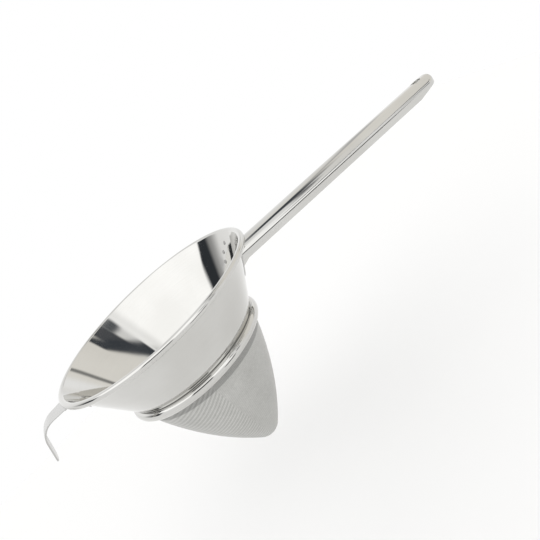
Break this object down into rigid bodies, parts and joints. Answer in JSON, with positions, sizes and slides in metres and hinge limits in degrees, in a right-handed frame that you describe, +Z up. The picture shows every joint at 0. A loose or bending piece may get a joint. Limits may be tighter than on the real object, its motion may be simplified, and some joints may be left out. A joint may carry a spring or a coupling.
{
  "type": "chinois strainer",
  "caption": "Conical fine-mesh strainer: rolled-rim steel bowl, woven cloth cone in a banded joint, long pressed channel handle and a pot hook.",
  "frame": {"origin": "centre of the bowl's mouth, level with the top of the rolled rim", "axes": "+X along the handle away from the bowl, -X towards the pot hook, +Z up out of the mouth, so the cone's tip points down -Z"},
  "size_m": [0.4872, 0.2, 0.1636],
  "materials": {
    "polished_steel": "mirror-polished stainless steel",
    "satin_steel": "smooth rolled stainless steel, less polished",
    "woven_cloth": "fine woven stainless wire cloth",
    "weld_metal": "dull spot and seam welds"
  },
  "bodies": {
    "root": {"bowl": "polished_steel", "mesh_cone": "woven_cloth", "mesh_ring": "polished_steel", "hoop_wire": "satin_steel", "handle": "polished_steel", "handle_plate": "satin_steel", "handle_seams": "weld_metal", "handle_spot_welds": "weld_metal", "pot_hook": "satin_steel", "hook_spot_welds": "weld_metal"}
  },
  "joints": []
}
